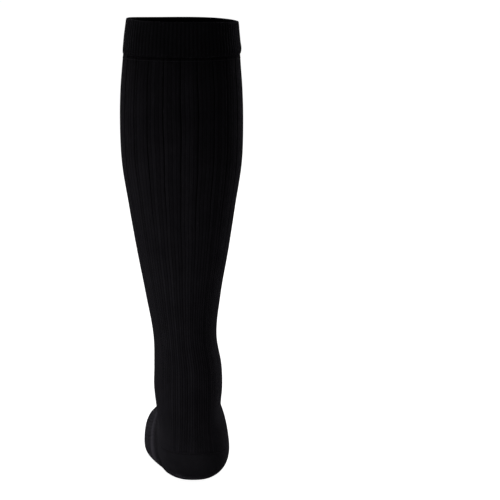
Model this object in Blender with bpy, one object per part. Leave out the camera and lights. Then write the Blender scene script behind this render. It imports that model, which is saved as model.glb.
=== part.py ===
"""A knee-high compression stocking, filled out as on a left leg: hollow and open at the top.

The whole stocking is one skin, a tube of rings that runs down the leg, fans round the heel and
runs along the foot to the closed toe. Every knitted stretch is a wall cut from that skin: the
welt, the leg in three stretches, the heel pocket, the foot and the toe cap, 0.3 mm apart where
they meet.

Axes: +Z up the leg, +Y towards the toes, +X towards the other leg. The origin lies in the welt,
about 20 mm below its rim, where the leg holds the stocking up. Tables are in millimetres, the
rest in metres.
"""
import math

import bmesh
import bpy
import numpy as np

for old in list(bpy.data.objects):
    bpy.data.objects.remove(old)
COLLECTION = bpy.data.collections.new("compression_stocking")
bpy.context.scene.collection.children.link(COLLECTION)

MM = 0.001
HELD_HEIGHT = 415.0          # from the bottom of the heel up to the origin, mm
SEAM_GAP = 0.0003            # between neighbouring pieces

WALL = 0.0011                # knitted cloth, from its plain inside to the bottom of a groove
WELT_WALL = 0.0015           # the welt is knitted double
RIB_COUNT = 22               # broad ribs round the leg
RIB_ANGLE = 2 * math.pi / RIB_COUNT
RIB_RAISE = 0.0008           # crown of a broad rib above its grooves
RIB_SHOULDER = 0.85          # a rib's height beside its groove, as a share of its crown
ANKLE_SHARE = 0.5            # share of that relief at the ankle and on the foot, knitted tighter
PLAIN_RAISE = 0.0005         # the plain knit of heel, sole and toe lies between the two
GROOVE_SHARE = 0.17          # half a groove's width, as a share of a rib's pitch

WALES_PER_RIB = 4            # fine upright ribs of the welt, for each broad rib below them
WALE_RAISE = 0.0004
WELT_EDGE_RAISE = 0.0003     # the welt's lower edge stands proud of the band above it
WELT_FOLD = 0.0011           # rounding of the fold at the rim

# One row for each ring of the welt, from the fold at its rim to its lower edge.
# down: share of the way down the welt; drawn_in: in shares of WELT_FOLD;
# wales, edge: the shares of WALE_RAISE and of WELT_EDGE_RAISE that the ring has.
WELT_COLUMNS = ("down", "drawn_in", "wales", "edge")
WELT_RINGS = (
    (0.00, 0.90, 0.0, 0.0),
    (0.01, 0.35, 0.4, 0.0),
    (0.04, 0.00, 1.0, 0.0),
    (0.30, 0.00, 1.0, 0.0),
    (0.62, 0.00, 1.0, 0.0),
    (0.86, 0.00, 1.0, 0.2),
    (0.96, 0.00, 0.6, 1.0),
    (1.00, 0.40, 0.0, 0.6),
)

GORE_RIBS = 7                # ribs from the back of the heel round to the tip of each gore
GORE_TIP = 2.4               # width of the heel pocket there, mm
GORE_SLANT = 1.5             # exponent of the gores' slant: more draws the tips out longer
GORE_SECTION = "heel_round"  # the section that both gore tips lie on
POCKET_TOP = "heel_swell"    # the pocket's upper edge at the back of the heel
POCKET_END = 30.0            # its lower edge under the sole, mm past "heel_end"
POCKET_ROWS = 8
SOLE_EDGE = math.radians(84)     # where the foot's plain sole ends, round from its middle
INSTEP_EDGE = math.radians(104)  # where the ribs of the instep are at full height
TOE_BLUNT_WIDE = 2.8         # exponents of the toe's rounding, seen from above
TOE_BLUNT_HIGH = 2.6         # and from the side

# One row for each section of the filled-out skin. Heights are above the bottom of the heel.
# back: the point at the back of the leg, then round the heel, then under the sole.
# front: the point opposite, on the shin, then the instep, then the top of the toes.
# half: half the width; wide_at: where it is widest, as a share of the way from back to front.
# back_round, front_round: 2 for an ellipse, more for a squarer half.
# right_drop: how far the right side of the section dips; rings: rings up to the next section.
SECTION_COLUMNS = (
    "back_x", "back_y", "back_h", "front_x", "front_y", "front_h",
    "half", "wide_at", "back_round", "front_round", "right_drop", "rings",
)
SECTIONS = {
    "rim":          (0.0, -52.3, 436.4, 0.0, 51.8, 435.1, 52.2, 0.50, 2.0, 2.0, 1.6, 0),
    "welt_middle":  (-0.5, -54.6, 416.0, -0.5, 53.2, 416.0, 54.4, 0.50, 2.0, 2.0, 0.4, 0),
    "welt_puff":    (-0.4, -56.1, 407.8, -0.4, 54.0, 407.8, 55.1, 0.50, 2.0, 2.0, 0.0, 0),
    "welt_end":     (-0.8, -56.1, 403.1, -0.8, 53.8, 403.1, 54.6, 0.50, 2.0, 2.0, 0.0, 1),
    "leg_top":      (-0.9, -56.7, 397.5, -0.9, 53.9, 397.5, 54.95, 0.50, 2.0, 2.0, 0.0, 1),
    "below_knee":   (-1.0, -60.6, 372.0, -1.0, 54.6, 372.0, 56.8, 0.50, 2.0, 2.0, 0.0, 2),
    "calf":         (-0.9, -63.6, 338.0, -0.9, 54.6, 338.0, 57.5, 0.50, 2.0, 2.0, 0.0, 2),
    "calf_foot":    (-0.7, -63.2, 302.0, -0.7, 54.2, 302.0, 56.1, 0.50, 2.0, 2.0, 0.0, 2),
    "under_calf":   (-0.6, -56.3, 262.0, -0.6, 53.3, 262.0, 50.0, 0.50, 2.0, 2.0, 0.0, 2),
    "shin":         (-0.2, -45.8, 218.0, -0.2, 51.3, 218.0, 42.9, 0.50, 2.0, 2.0, 0.0, 2),
    "low_shin":     (0.2, -36.8, 174.0, 0.2, 48.8, 174.0, 34.9, 0.50, 2.0, 2.0, 0.0, 2),
    "ankle":        (1.9, -31.3, 132.0, 1.9, 46.8, 133.0, 29.5, 0.52, 2.0, 2.0, 0.0, 2),
    "ankle_bones":  (4.8, -31.3, 101.0, 4.2, 48.8, 106.0, 31.6, 0.55, 2.0, 2.1, 0.0, 2),
    "heel_back":    (5.2, -35.2, 74.0, 4.2, 52.3, 95.0, 31.9, 0.50, 2.0, 2.1, 0.0, 2),
    "heel_start":   (6.8, -42.2, 49.0, 3.7, 56.3, 88.0, 30.1, 0.42, 2.1, 2.1, 0.0, 2),
    "heel_swell":   (12.2, -45.2, 28.0, 3.7, 60.8, 82.0, 31.9, 0.38, 2.2, 2.1, 0.0, 2),
    "heel_round":   (13.2, -37.2, 7.8, 3.2, 66.3, 77.8, 33.6, 0.37, 2.3, 2.1, 0.0, 2),
    "heel_sole":    (10.2, -17.0, -0.6, 2.7, 73.2, 73.2, 33.4, 0.37, 2.4, 2.1, 0.0, 2),
    "heel_end":     (6.8, 12.0, -1.0, 1.5, 83.2, 69.2, 33.6, 0.36, 2.6, 2.1, 0.0, 2),
    "arch":         (2.3, 50.0, -0.8, 0.8, 98.0, 63.2, 35.9, 0.33, 2.8, 2.1, 0.0, 2),
    "ball_back":    (-0.5, 92.0, 0.6, 0.5, 122.0, 56.3, 38.5, 0.32, 3.1, 2.3, 0.0, 2),
    "ball":         (-1.5, 134.0, 4.3, 0.8, 146.0, 51.3, 38.3, 0.32, 3.1, 2.65, 0.0, 2),
    "toe_start":    (0.0, 162.0, 8.3, 2.0, 166.0, 46.4, 37.6, 0.36, 2.9, 2.7, 0.0, 0),
    "toe_tip":      (4.0, 206.0, 13.8, 5.0, 208.0, 37.2, 34.2, 0.46, 2.4, 2.3, 0.0, 0),
}
TOE_RINGS = 6
TOE_FLAT = 0.994             # the tip's last ring, as a share of the way from toe_start to toe_tip
SHARP_EDGE = math.radians(50)

# The leg's stretches, each knitted tighter than the one above it, and where each starts and ends.
LEG_STRETCHES = {
    "leg_calf": ("welt_end", "calf_foot"),
    "leg_shin": ("calf_foot", "low_shin"),
    "leg_ankle": ("low_shin", GORE_SECTION),
}

CLOTH_COLOURS = {
    "welt": (0.013, 0.012, 0.014),
    "leg_calf": (0.014, 0.013, 0.015),
    "leg_shin": (0.015, 0.014, 0.016),
    "leg_ankle": (0.016, 0.015, 0.017),
    "heel_pocket": (0.017, 0.016, 0.019),
    "foot": (0.016, 0.015, 0.018),
    "toe_cap": (0.018, 0.017, 0.020),
}


def section_arrays():
    """The section table as one array for each named column, and each section's place on the tube."""
    rows = np.array([row for row in SECTIONS.values()], dtype=float)
    table = dict(zip(SECTION_COLUMNS, rows.T))
    middle = np.stack([
        (table["back_x"] + table["front_x"]) / 2,
        (table["back_y"] + table["front_y"]) / 2,
        (table["back_h"] + table["front_h"]) / 2,
    ], axis=1)
    steps = np.linalg.norm(np.diff(middle, axis=0), axis=1)
    return table, np.concatenate([[0.0], np.cumsum(steps)])


TABLE, PLACES = section_arrays()
PLACE_OF = dict(zip(SECTIONS, PLACES))


def smooth(values, along):
    """A cubic curve through the sections' values, with each slope taken from both neighbours."""
    gaps = np.diff(PLACES)
    chords = np.diff(values) / gaps
    slopes = np.empty_like(values)
    slopes[1:-1] = (chords[:-1] * gaps[1:] + chords[1:] * gaps[:-1]) / (gaps[:-1] + gaps[1:])
    slopes[0], slopes[-1] = chords[0], chords[-1]
    cell = np.clip(np.searchsorted(PLACES, along, side="right") - 1, 0, len(gaps) - 1)
    width = gaps[cell]
    share = (along - PLACES[cell]) / width
    low, high = values[cell], values[cell + 1]
    return (
        low * (1 + 2 * share) * (1 - share) ** 2
        + high * share ** 2 * (3 - 2 * share)
        + slopes[cell] * width * share * (1 - share) ** 2
        - slopes[cell + 1] * width * share ** 2 * (1 - share)
    )


def toe_factors(along):
    """How far the toe's rounding has drawn in a ring's width and height: 1 behind the toe."""
    start, tip = PLACE_OF["toe_start"], PLACE_OF["toe_tip"]
    share = np.clip((along - start) / (tip - start), 0.0, 1.0)
    wide = (1 - share ** TOE_BLUNT_WIDE) ** (1 / TOE_BLUNT_WIDE)
    high = (1 - share ** TOE_BLUNT_HIGH) ** (1 / TOE_BLUNT_HIGH)
    return wide, high


def skin(along, around):
    """Points of the skin in metres, for a grid of places along it and a row of angles round it.

    An angle of 0 is the back of the leg and the middle of the sole, and it grows towards +X.
    """
    column = {name: smooth(values, along) for name, values in TABLE.items()}
    wide, high = toe_factors(along)
    back = np.stack([column["back_x"], column["back_y"], column["back_h"]], axis=-1)
    front = np.stack([column["front_x"], column["front_y"], column["front_h"]], axis=-1)
    wide_at = column["wide_at"][..., None]
    middle = back + (front - back) * wide_at

    out, side = np.cos(around)[None, :], np.sin(around)[None, :]
    power = 2 / np.where(out > 0, column["back_round"], column["front_round"])
    out = np.sign(out) * np.abs(out) ** power
    side = np.sign(side) * np.abs(side) ** power
    reach = np.where(out[..., None] > 0, wide_at, 1 - wide_at)
    points = middle + (back - front) * reach * (out * high)[..., None]
    points[..., 0] += column["half"] * side * wide
    points[..., 2] -= column["right_drop"] * side ** 3 + HELD_HEIGHT
    return points * MM


def unit(steps):
    """The same directions with a length of 1; a step of no length stays as it is."""
    length = np.linalg.norm(steps, axis=-1, keepdims=True)
    return steps / np.where(length > 0, length, 1.0)


def skin_normals(along, around):
    """Outward unit normals of the skin, from small steps along it and around it."""
    step_along, step_around = 0.05, 0.001
    down = skin(along + step_along, around) - skin(along - step_along, around)
    round_it = skin(along, around + step_around) - skin(along, around - step_around)
    return unit(np.cross(down, round_it))


def rings_between(first, last):
    """Places of the rings from one named section to another, as many as the table asks for."""
    names = list(SECTIONS)
    chosen = names[names.index(first):names.index(last)]
    places = []
    for name in chosen:
        here = names.index(name)
        count = int(TABLE["rings"][here])
        places += list(np.linspace(PLACES[here], PLACES[here + 1], count, endpoint=False))
    return np.array(places + [PLACE_OF[last]])


def rib_angles():
    """Angles of the columns: a groove's bottom, its shoulder, the crown and the other shoulder."""
    shares = np.array([0.0, GROOVE_SHARE, 0.5, 1 - GROOVE_SHARE])
    return (np.arange(RIB_COUNT)[:, None] + shares).ravel() * RIB_ANGLE


def from_back(around):
    """How far round each angle is from the back of the leg, either way, 0 to pi."""
    return np.minimum(around, 2 * math.pi - around)


def step_between(value, low, high):
    """0 below low, 1 above high, and an S curve between them."""
    share = np.clip((value - low) / (high - low), 0.0, 1.0)
    return share * share * (3 - 2 * share)


def pocket_edges(around):
    """Places of the heel pocket's upper and lower edges, which close in on the gore tips."""
    gore = PLACE_OF[GORE_SECTION]
    ribs = from_back(around) / RIB_ANGLE
    inside = ribs < GORE_RIBS + GROOVE_SHARE / 2
    turned = np.clip(ribs / GORE_RIBS, 0.0, 1.0) * math.pi / 2
    spread = np.where(inside, np.cos(turned) ** GORE_SLANT, 0.0)
    tip = np.where(inside, GORE_TIP / 2, 0.0)
    upper = gore - tip - spread * (gore - PLACE_OF[POCKET_TOP])
    lower = gore + tip + spread * (PLACE_OF["heel_end"] + POCKET_END - gore)
    return upper, lower


def rib_raise(amount):
    """Height of every column above its groove where ribs stand at the given share, 0 to 1."""
    profile = np.tile([0.0, RIB_SHOULDER, 1.0, RIB_SHOULDER], RIB_COUNT) * RIB_RAISE
    return PLAIN_RAISE + (profile - PLAIN_RAISE) * amount


def seam_shift(points, keep, closed_end):
    """Moves the points on a piece's border half a seam gap back into the piece."""
    border = np.vstack([np.zeros_like(keep[:1]), keep, keep[-1:] & closed_end]).astype(int)
    left = np.roll(border, 1, axis=1)
    after, before = border[1:] + left[1:], border[:-1] + left[:-1]
    to_right, to_left = border[1:] + border[:-1], left[1:] + left[:-1]
    down = unit(np.gradient(points, axis=0))
    round_it = unit(np.roll(points, -1, axis=1) - np.roll(points, 1, axis=1))
    return points + SEAM_GAP / 2 * (
        np.sign(after - before)[..., None] * down
        + np.sign(to_right - to_left)[..., None] * round_it
    )


def wall_faces(keep, finer, closed_end):
    """Faces of a wall whose outer points are `finer` times as close round it as its inner ones."""
    rows, columns = keep.shape[0] + 1, keep.shape[1]
    outer_columns = columns * finer
    inner_start = rows * outer_columns

    def outer(row, column):
        return row * outer_columns + column % outer_columns

    def inner(row, column):
        return inner_start + row * columns + column % columns

    def kept(row, column):
        return 0 <= row < rows - 1 and bool(keep[row, column % columns])

    faces = []
    for row, column in zip(*np.nonzero(keep)):
        row, column = int(row), int(column)
        first, last = column * finer, (column + 1) * finer
        for fine in range(first, last):
            faces.append((outer(row, fine), outer(row + 1, fine),
                          outer(row + 1, fine + 1), outer(row, fine + 1)))
        faces.append((inner(row, column), inner(row, column + 1),
                      inner(row + 1, column + 1), inner(row + 1, column)))
        if not kept(row - 1, column):
            rim = [outer(row, fine) for fine in range(first, last + 1)]
            faces.append((*rim, inner(row, column + 1), inner(row, column)))
        if not kept(row + 1, column) and not (closed_end and row == rows - 2):
            rim = [outer(row + 1, fine) for fine in range(last, first - 1, -1)]
            faces.append((*rim, inner(row + 1, column), inner(row + 1, column + 1)))
        if not kept(row, column - 1):
            faces.append((outer(row + 1, first), outer(row, first),
                          inner(row, column), inner(row + 1, column)))
        if not kept(row, column + 1):
            faces.append((outer(row, last), outer(row + 1, last),
                          inner(row + 1, column + 1), inner(row, column + 1)))
    if closed_end:
        faces.append([outer(rows - 1, fine) for fine in range(outer_columns - 1, -1, -1)])
        faces.append([inner(rows - 1, column) for column in range(columns)])
    return faces


def cloth(name):
    """Near-black matt knit, a little paler where it is stretched thinner."""
    material = bpy.data.materials.new(name + "_cloth")
    material.use_nodes = True
    shader = material.node_tree.nodes["Principled BSDF"]
    shader.inputs["Base Color"].default_value = (*CLOTH_COLOURS[name], 1.0)
    shader.inputs["Roughness"].default_value = 0.85
    shader.inputs["Metallic"].default_value = 0.0
    return material


def knitted_wall(name, along, around, raised, wall, keep=None, closed_end=False):
    """One closed solid: outer points raised over the skin, inner points a plain wall below it.

    keep says which cells of the plain inside are knitted: a row for each step along the tube, and
    a column for each of the cells round it. Without it the wall goes all the way round.
    """
    if keep is None:
        keep = np.ones((along.shape[0] - 1, RIB_COUNT * 2), dtype=bool)
    finer = len(around) // keep.shape[1]
    outer = skin(along, around) + skin_normals(along, around) * raised[..., None]
    under, plain = along[:, ::finer], around[::finer]
    inner = skin(under, plain) - skin_normals(under, plain) * wall
    outer = seam_shift(outer, np.repeat(keep, finer, axis=1), closed_end)
    inner = seam_shift(inner, keep, closed_end)

    mesh = bpy.data.meshes.new(name)
    points = np.vstack([outer.reshape(-1, 3), inner.reshape(-1, 3)])
    mesh.from_pydata(points.tolist(), [], wall_faces(keep, finer, closed_end))
    shape = bmesh.new()
    shape.from_mesh(mesh)
    loose = [vertex for vertex in shape.verts if not vertex.link_faces]
    bmesh.ops.delete(shape, geom=loose, context="VERTS")
    shape.to_mesh(mesh)
    shape.free()
    mesh.shade_smooth()
    mesh.set_sharp_from_angle(angle=SHARP_EDGE)
    mesh.materials.append(cloth(name))
    piece = bpy.data.objects.new(name, mesh)
    COLLECTION.objects.link(piece)


def make_welt():
    """The turned top band: double cloth, fine upright ribs, a round fold and a proud lower edge."""
    ring = dict(zip(WELT_COLUMNS, np.array(WELT_RINGS).T))
    rim, end = PLACE_OF["rim"], PLACE_OF["welt_end"]
    columns = RIB_COUNT * WALES_PER_RIB * 2
    around = np.arange(columns) * 2 * math.pi / columns
    along = (rim + ring["down"] * (end - rim))[:, None] + np.zeros(columns)
    level = PLAIN_RAISE - ring["drawn_in"] * WELT_FOLD + ring["edge"] * WELT_EDGE_RAISE
    wale = ring["wales"][:, None] * WALE_RAISE * (np.arange(columns) % 2)
    knitted_wall("welt", along, around, level[:, None] + wale, WELT_WALL)


def make_leg_stretch(name, first, last):
    """A stretch of the ribbed tube, whose lowest rings bend to the heel pocket's upper edge.

    The ribs' relief weakens from the foot of the calf to the ankle.
    """
    around = rib_angles()
    rings = rings_between(first, last)[:, None]
    gore = PLACE_OF[GORE_SECTION]
    share = step_between(rings, PLACE_OF["ankle_bones"], gore)
    along = rings + share * (pocket_edges(around)[0] - gore)
    tighter = step_between(along, PLACE_OF["calf_foot"], PLACE_OF["ankle"])
    raised = rib_raise(1 - (1 - ANKLE_SHARE) * tighter)
    knitted_wall(name, along, around, raised, WALL)


def make_heel_pocket():
    """The plain cup of the heel, widest under the sole and drawn in to a tip on each side."""
    around = rib_angles()
    upper, lower = pocket_edges(around)
    along = upper + np.linspace(0.0, 1.0, POCKET_ROWS + 1)[:, None] * (lower - upper)
    cells = np.arange(RIB_COUNT * 2)
    turned = np.minimum(cells, len(cells) - 1 - cells) < GORE_RIBS * 2
    keep = np.repeat(turned[None, :], POCKET_ROWS, axis=0)
    knitted_wall("heel_pocket", along, around, rib_raise(np.zeros(along.shape)), WALL, keep)


def make_foot():
    """The tube of the foot, with ribs over the instep and a plain sole."""
    around = rib_angles()
    rings = rings_between(GORE_SECTION, "toe_start")[:, None]
    gore = PLACE_OF[GORE_SECTION]
    share = 1 - step_between(rings, gore, PLACE_OF["ball_back"])
    along = rings + share * (pocket_edges(around)[1] - gore)
    amount = ANKLE_SHARE * step_between(from_back(around), SOLE_EDGE, INSTEP_EDGE)
    knitted_wall("foot", along, around, rib_raise(amount * np.ones(along.shape)), WALL)


def make_toe_cap():
    """The plain toe, rounded shut at its tip."""
    around = rib_angles()
    start, tip = PLACE_OF["toe_start"], PLACE_OF["toe_tip"]
    turns = np.linspace(0.0, math.asin(TOE_FLAT), TOE_RINGS + 1)[:, None]
    along = start + (tip - start) * np.sin(turns) + np.zeros(len(around))
    raised = rib_raise(np.zeros(along.shape))
    knitted_wall("toe_cap", along, around, raised, WALL, closed_end=True)


make_welt()
for stretch, (top, bottom) in LEG_STRETCHES.items():
    make_leg_stretch(stretch, top, bottom)
make_heel_pocket()
make_foot()
make_toe_cap()
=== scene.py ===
"""Looks of a knee-high compression stocking in near-black ribbed nylon, filled out as on a leg.

It is the left one of a pair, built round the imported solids, in metres: +Z up the leg, +Y towards
the toes, +X towards the wearer's other leg. A knitting machine makes a stocking from its top band
down to the toe, and the sections below follow that order. The stage, the lights and the camera
come last.
"""
import math

import bmesh
import bpy
import numpy as np
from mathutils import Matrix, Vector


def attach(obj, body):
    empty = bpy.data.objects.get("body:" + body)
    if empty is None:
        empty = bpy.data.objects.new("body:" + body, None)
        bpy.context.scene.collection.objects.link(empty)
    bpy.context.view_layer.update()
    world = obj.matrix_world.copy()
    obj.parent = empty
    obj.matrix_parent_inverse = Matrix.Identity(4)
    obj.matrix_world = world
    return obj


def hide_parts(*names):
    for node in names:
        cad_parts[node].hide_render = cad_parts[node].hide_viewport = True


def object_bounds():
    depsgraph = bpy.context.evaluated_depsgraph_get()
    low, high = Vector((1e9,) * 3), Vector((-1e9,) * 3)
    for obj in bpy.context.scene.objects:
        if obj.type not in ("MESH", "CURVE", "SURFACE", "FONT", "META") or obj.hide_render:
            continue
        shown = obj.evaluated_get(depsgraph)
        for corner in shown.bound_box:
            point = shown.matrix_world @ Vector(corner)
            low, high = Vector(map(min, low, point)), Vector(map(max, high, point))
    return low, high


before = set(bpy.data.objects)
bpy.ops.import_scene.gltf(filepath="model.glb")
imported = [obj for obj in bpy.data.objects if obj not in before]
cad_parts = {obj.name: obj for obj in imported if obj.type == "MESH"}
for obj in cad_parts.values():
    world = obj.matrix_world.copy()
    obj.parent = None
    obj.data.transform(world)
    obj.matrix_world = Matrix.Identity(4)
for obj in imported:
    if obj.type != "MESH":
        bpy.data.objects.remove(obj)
cad_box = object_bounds()

# ---- Welt --------------------------------------------------------------------------------------
# The turned top band: the knitter makes it twice as long, folds it inwards and links its end to
# the leg, so it is double cloth. It has 88 fine upright ribs, a round fold at the rim and a lower
# edge that stands proud of the leg.
MM = 0.001
HELD_HEIGHT = 415.0            # from the bottom of the heel up to the origin, mm
RIBS = 22                      # broad ribs round the leg
FINE_RIBS = 4                  # fine ribs in each broad one
STITCHES = 4                   # stitches side by side in each fine rib
COURSE = 0.85                  # height of a row of stitches, mm

# One row for each section of the filled-out skin, in mm. Heights are above the heel's bottom.
# back: the point at the back of the leg, then round the heel, then under the sole.
# front: the point opposite, on the shin, then the instep, then the top of the toes.
# half: half the width; wide_at: where it is widest, as a share of the way from back to front.
# back_round, front_round: 2 for an ellipse, more for a squarer half.
# right_drop: how far the right side of the section dips and its left side rises.
SECTION_COLUMNS = (
    "back_x", "back_y", "back_h", "front_x", "front_y", "front_h",
    "half", "wide_at", "back_round", "front_round", "right_drop",
)
SECTIONS = {
    "rim":          (0.0, -52.3, 436.4, 0.0, 51.8, 435.1, 52.2, 0.50, 2.0, 2.0, 1.6),
    "welt_middle":  (-0.5, -54.6, 416.0, -0.5, 53.2, 416.0, 54.4, 0.50, 2.0, 2.0, 0.4),
    "welt_puff":    (-0.4, -56.1, 407.8, -0.4, 54.0, 407.8, 55.1, 0.50, 2.0, 2.0, 0.0),
    "welt_end":     (-0.8, -56.1, 403.1, -0.8, 53.8, 403.1, 54.6, 0.50, 2.0, 2.0, 0.0),
    "leg_top":      (-0.9, -56.7, 397.5, -0.9, 53.9, 397.5, 54.95, 0.50, 2.0, 2.0, 0.0),
    "below_knee":   (-1.0, -60.6, 372.0, -1.0, 54.6, 372.0, 56.8, 0.50, 2.0, 2.0, 0.0),
    "calf":         (-0.9, -63.6, 338.0, -0.9, 54.6, 338.0, 57.5, 0.50, 2.0, 2.0, 0.0),
    "calf_foot":    (-0.7, -63.2, 302.0, -0.7, 54.2, 302.0, 56.1, 0.50, 2.0, 2.0, 0.0),
    "under_calf":   (-0.6, -56.3, 262.0, -0.6, 53.3, 262.0, 50.0, 0.50, 2.0, 2.0, 0.0),
    "shin":         (-0.2, -45.8, 218.0, -0.2, 51.3, 218.0, 42.9, 0.50, 2.0, 2.0, 0.0),
    "low_shin":     (0.2, -36.8, 174.0, 0.2, 48.8, 174.0, 34.9, 0.50, 2.0, 2.0, 0.0),
    "ankle":        (1.9, -31.3, 132.0, 1.9, 46.8, 133.0, 29.5, 0.52, 2.0, 2.0, 0.0),
    "ankle_bones":  (4.8, -31.3, 101.0, 4.2, 48.8, 106.0, 31.6, 0.55, 2.0, 2.1, 0.0),
    "heel_back":    (5.2, -35.2, 74.0, 4.2, 52.3, 95.0, 31.9, 0.50, 2.0, 2.1, 0.0),
    "heel_start":   (6.8, -42.2, 49.0, 3.7, 56.3, 88.0, 30.1, 0.42, 2.1, 2.1, 0.0),
    "heel_swell":   (12.2, -45.2, 28.0, 3.7, 60.8, 82.0, 31.9, 0.38, 2.2, 2.1, 0.0),
    "heel_round":   (13.2, -37.2, 7.8, 3.2, 66.3, 77.8, 33.6, 0.37, 2.3, 2.1, 0.0),
    "heel_sole":    (10.2, -17.0, -0.6, 2.7, 73.2, 73.2, 33.4, 0.37, 2.4, 2.1, 0.0),
    "heel_end":     (6.8, 12.0, -1.0, 1.5, 83.2, 69.2, 33.6, 0.36, 2.6, 2.1, 0.0),
    "arch":         (2.3, 50.0, -0.8, 0.8, 98.0, 63.2, 35.9, 0.33, 2.8, 2.1, 0.0),
    "ball_back":    (-0.5, 92.0, 0.6, 0.5, 122.0, 56.3, 38.5, 0.32, 3.1, 2.3, 0.0),
    "ball":         (-1.5, 134.0, 4.3, 0.8, 146.0, 51.3, 38.3, 0.32, 3.1, 2.65, 0.0),
    "toe_start":    (0.0, 162.0, 8.3, 2.0, 166.0, 46.4, 37.6, 0.36, 2.9, 2.7, 0.0),
    "toe_tip":      (4.0, 206.0, 13.8, 5.0, 208.0, 37.2, 34.2, 0.46, 2.4, 2.3, 0.0),
}
TOE_BLUNT_WIDE = 2.8           # exponents of the toe's rounding, seen from above
TOE_BLUNT_HIGH = 2.6           # and from the side
STEP_ALONG = 0.05              # short steps on the skin, down it in mm
STEP_AROUND = 0.001            # and round it in radians

TABLE = dict(zip(SECTION_COLUMNS, np.array(list(SECTIONS.values())).T))
MIDDLES = np.stack([TABLE["back_" + axis] + TABLE["front_" + axis] for axis in "xyh"], axis=1) / 2
PLACES = np.concatenate([[0.0], np.cumsum(np.linalg.norm(np.diff(MIDDLES, axis=0), axis=1))])
PLACE_OF = dict(zip(SECTIONS, PLACES))


def smooth(values, along):
    """A cubic curve through the sections' values, with each slope taken from both neighbours."""
    gaps = np.diff(PLACES)
    chords = np.diff(values) / gaps
    slopes = np.empty_like(values)
    slopes[1:-1] = (chords[:-1] * gaps[1:] + chords[1:] * gaps[:-1]) / (gaps[:-1] + gaps[1:])
    slopes[0], slopes[-1] = chords[0], chords[-1]
    cell = np.clip(np.searchsorted(PLACES, along, side="right") - 1, 0, len(gaps) - 1)
    width = gaps[cell]
    share = (along - PLACES[cell]) / width
    return (
        values[cell] * (1 + 2 * share) * (1 - share) ** 2
        + values[cell + 1] * share ** 2 * (3 - 2 * share)
        + slopes[cell] * width * share * (1 - share) ** 2
        - slopes[cell + 1] * width * share ** 2 * (1 - share)
    )


def skin(along, around):
    """Points of the filled-out skin in mm, for a grid of places along it and a row of angles.

    Each ring is two half superellipses about the widest line between its back and front points:
    the middle plus the reach to the back or front times a power of the cosine, and plus half the
    width times a power of the sine. An angle of 0 is the back of the leg, and it grows to +X.
    """
    column = {name: smooth(values, along)[..., None] for name, values in TABLE.items()}
    start, tip = PLACE_OF["toe_start"], PLACE_OF["toe_tip"]
    toe = np.clip((along - start) / (tip - start), 0.0, 1.0)[..., None]
    wide = (1 - toe ** TOE_BLUNT_WIDE) ** (1 / TOE_BLUNT_WIDE)
    high = (1 - toe ** TOE_BLUNT_HIGH) ** (1 / TOE_BLUNT_HIGH)
    back = np.concatenate([column["back_" + axis] for axis in "xyh"], axis=-1)
    front = np.concatenate([column["front_" + axis] for axis in "xyh"], axis=-1)

    out, side = np.cos(around)[:, None], np.sin(around)[:, None]
    power = 2 / np.where(out > 0, column["back_round"], column["front_round"])
    out = np.sign(out) * np.abs(out) ** power
    side = np.sign(side) * np.abs(side) ** power
    reach = np.where(out > 0, column["wide_at"], 1 - column["wide_at"])
    points = back + (front - back) * column["wide_at"] + (back - front) * reach * out * high
    points[..., 0] += (column["half"] * side * wide)[..., 0]
    points[..., 2] -= (column["right_drop"] * side ** 3)[..., 0] + HELD_HEIGHT
    return points


def raised_skin(along, around, raised):
    """The skin moved `raised` mm out along its normals, which short steps on the skin give."""
    down = skin(along + STEP_ALONG, around) - skin(along - STEP_ALONG, around)
    round_it = skin(along, around + STEP_AROUND) - skin(along, around - STEP_AROUND)
    normals = np.cross(down, round_it)
    normals /= np.linalg.norm(normals, axis=-1, keepdims=True)
    return skin(along, around) + normals * raised[..., None]


def full_turn(columns):
    """Angles of a closed ring's columns, starting at the back of the leg."""
    return np.arange(columns) * 2 * math.pi / columns


def knitted(name, points, wales, courses, colour_share_with_painted_shading, round_it=True, blind_row=None):
    """A closed wall from a grid of points that runs down its outside and back up its inside.

    Every cell of the grid is a face, and the last row joins the first. Without `round_it` the
    two ends of the rows are closed by a face each. After `blind_row` the rows aren't joined, and
    the rings on both sides of that gap are closed instead, as at the end of a toe. `wales` and
    `courses` count the stitches up to each column and row, and the grid after them is the share of
    the yarn's colour at each point, painted for how open the knit is to the light: about 1 on a
    crown and less in a groove, where shade is painted, with the creases' painted highlights and
    shade and the ribs' own uneven tone.
    """
    rows, columns = points.shape[:2]
    row = np.arange(rows)[:, None]
    if blind_row is not None:
        row = np.delete(row, blind_row, axis=0)
    column = np.arange(columns if round_it else columns - 1)[None, :]
    below, beside = (row + 1) % rows, (column + 1) % columns
    faces = np.stack([
        row * columns + column, below * columns + column,
        below * columns + beside, row * columns + beside,
    ], axis=-1).reshape(-1, 4)
    u = np.stack(np.broadcast_arrays(
        wales[column], wales[column], wales[column + 1], wales[column + 1] + 0.0 * row), axis=-1)
    v = np.stack(np.broadcast_arrays(
        courses[row], courses[row + 1], courses[row + 1], courses[row] + 0.0 * column), axis=-1)
    stitches = np.stack([u, v], axis=-1).reshape(-1, 2)

    ring = np.arange(columns)
    caps = []
    if not round_it:
        caps += [(np.arange(rows) * columns)[::-1], np.arange(rows) * columns + columns - 1]
    if blind_row is not None:
        caps += [ring[::-1] + blind_row * columns, ring + (blind_row + 1) * columns]
    caps = [cap.tolist() for cap in caps]
    stitches = np.vstack([stitches, np.zeros((sum(map(len, caps)), 2))])

    mesh = bpy.data.meshes.new(name)
    mesh.from_pydata((points.reshape(-1, 3) * MM).tolist(), [], faces.tolist() + caps)
    mesh.uv_layers.new(name="stitches").data.foreach_set("uv", stitches.ravel())
    openness = mesh.attributes.new("colour_share_with_painted_shading", "FLOAT", "POINT")
    openness.data.foreach_set("value", colour_share_with_painted_shading.astype(np.float32).ravel())
    mesh.shade_smooth()
    piece = bpy.data.objects.new(name, mesh)
    bpy.context.scene.collection.objects.link(piece)
    return piece


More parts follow.
